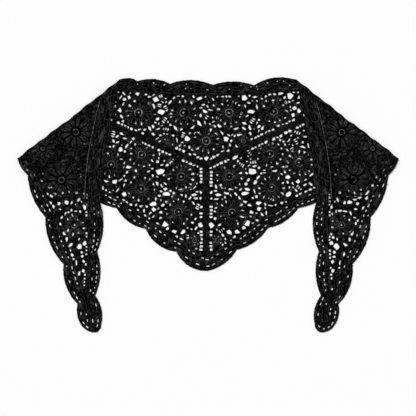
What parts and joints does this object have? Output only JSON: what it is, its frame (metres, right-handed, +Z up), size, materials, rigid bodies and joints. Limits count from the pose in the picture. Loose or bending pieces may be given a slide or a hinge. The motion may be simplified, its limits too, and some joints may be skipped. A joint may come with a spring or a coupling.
{
  "type": "lace scarf",
  "caption": "Shallow triangular lace scarf with scalloped borders, laid flat with both pointed ends folded forward over the back.",
  "frame": {"origin": "on the surface it lies on, under the centre of its outline", "axes": "+X along the top edge, +Y from the hem's point to the top edge, +Z up off the surface"},
  "size_m": [0.6092, 0.4081, 0.0043],
  "materials": {
    "cotton_lace": "black mercerised cotton thread, soft sheen",
    "corded_tape": "black twisted cord, soft sheen"
  },
  "bodies": {
    "root": {"top_border": "cotton_lace", "back_top_lace": "cotton_lace", "left_back_lace": "cotton_lace", "right_back_lace": "cotton_lace", "spine_tape": "corded_tape", "left_arm_tape": "corded_tape", "right_arm_tape": "corded_tape", "left_hem_border": "cotton_lace", "right_hem_border": "cotton_lace", "hem_point": "cotton_lace", "left_under_corner": "cotton_lace", "right_under_corner": "cotton_lace", "left_end_lace": "cotton_lace", "right_end_lace": "cotton_lace", "left_end_inner_border": "cotton_lace", "right_end_inner_border": "cotton_lace", "left_end_outer_border": "cotton_lace", "right_end_outer_border": "cotton_lace", "left_end_tip": "cotton_lace", "right_end_tip": "cotton_lace"}
  },
  "joints": []
}
